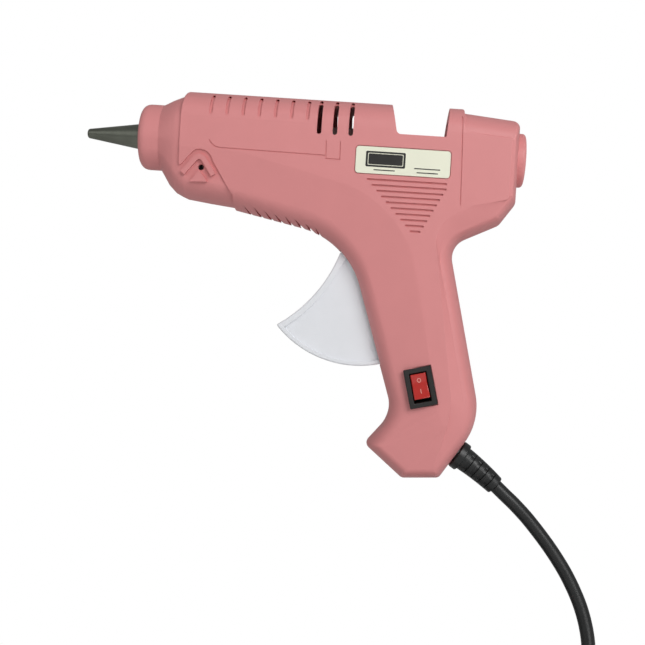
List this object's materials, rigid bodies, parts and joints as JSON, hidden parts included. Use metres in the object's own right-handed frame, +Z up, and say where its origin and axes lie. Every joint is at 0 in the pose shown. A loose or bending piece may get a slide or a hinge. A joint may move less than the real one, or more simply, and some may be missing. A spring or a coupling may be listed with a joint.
{
  "type": "hot glue gun",
  "caption": "Hand-held hot glue gun: two-half moulded body, metal nozzle, quadrant trigger that feeds the glue stick, rocker switch and mains lead.",
  "frame": {"origin": "middle of the grip on the seam plane, where a hand holds the gun", "axes": "+X back along the gun, away from the nozzle; +Y away from the label side; +Z up"},
  "size_m": [0.1978, 0.0894, 0.244],
  "materials": {
    "pink_plastic": "moulded ABS, satin, fine grain",
    "white_plastic": "moulded, slightly cool white",
    "black_plastic": "moulded, satin black",
    "red_plastic": "polished red rocker",
    "label_plastic": "bare cream label film",
    "nozzle_metal": "turned, dulled by heat",
    "cast_metal": "as cast",
    "steel": "plated",
    "brass": "plain",
    "ceramic": "unglazed",
    "silicone": "matt silicone",
    "feed_plastic": "nylon, natural",
    "lead_cover": "silicone insulated lead",
    "cord_rubber": "black mains lead, satin"
  },
  "bodies": {
    "chassis": {"clamp_screw_lower": "steel", "clamp_screw_upper": "steel", "cord_clamp": "feed_plastic", "cord_inner": "cord_rubber", "cord_tie": "black_plastic", "front_washer": "ceramic", "heater_clip": "steel", "heater_electrode_lower": "brass", "heater_electrode_upper": "brass", "inlet_sleeve": "silicone", "label_plate": "label_plastic", "lead_live": "lead_cover", "lead_neutral": "lead_cover", "lead_switched": "lead_cover", "melt_chamber": "cast_metal", "nozzle": "nozzle_metal", "plug_body": "black_plastic", "plug_pin_far": "brass", "plug_pin_near": "brass", "power_cord": "cord_rubber", "power_cord_coil": "cord_rubber", "power_cord_end": "cord_rubber", "ptc_heater": "ceramic", "return_spring": "steel", "shell_left": "pink_plastic", "shell_right": "pink_plastic", "shell_screw_belly": "steel", "shell_screw_chin": "steel", "shell_screw_grip": "steel", "shell_screw_heel": "steel", "shell_screw_roof": "steel", "shell_screw_rump": "steel", "sleeve_clamp": "steel", "strain_relief": "cord_rubber", "switch_housing": "black_plastic", "switch_terminal_lower": "brass", "switch_terminal_upper": "brass", "trigger_pin": "steel"},
    "trigger": {"trigger": "white_plastic", "arm_pin": "steel"},
    "feed_links": {"feed_link_left": "steel", "feed_link_right": "steel"},
    "feed_carriage": {"feed_carriage": "feed_plastic", "carriage_pin": "steel"},
    "grip_jaw": {"grip_jaw": "steel"},
    "switch_rocker": {"switch_rocker": "red_plastic"}
  },
  "joints": [
    {"name": "trigger_hinge", "type": "hinge", "parent": "chassis", "child": "trigger", "pos_m": [-0.0214, 0, 0.0232], "axis": [0, -1, 0], "range_deg": [0, 20], "stiffness_Nm_per_rad": 0.6, "springref_deg": -20.05, "deforming": ["return_spring"]},
    {"name": "link_hinge", "type": "hinge", "parent": "trigger", "child": "feed_links", "pos_m": [-0.01393, 0, 0.05396], "axis": [0, 1, 0], "range_deg": [0, 20]},
    {"name": "feed_slide", "type": "slide", "parent": "chassis", "child": "feed_carriage", "axis": [-0.998, 0, 0.0637], "range_m": [0, 0.011]},
    {"name": "jaw_hinge", "type": "hinge", "parent": "feed_carriage", "child": "grip_jaw", "pos_m": [-0.02591, 0, 0.05473], "axis": [0, 1, 0], "range_deg": [0, 8]},
    {"name": "rocker_hinge", "type": "hinge", "parent": "chassis", "child": "switch_rocker", "pos_m": [0.0022, -0.014, -0.0258], "axis": [0.9829, 0, 0.184], "range_deg": [0, 20]}
  ],
  "couplings": [
    {"joint": "link_hinge", "follows": "trigger_hinge", "ratio": 1},
    {"joint": "feed_slide", "follows": "trigger_hinge", "m_per_rad": 0.0315},
    {"joint": "jaw_hinge", "follows": "trigger_hinge", "ratio": 0.4}
  ]
}
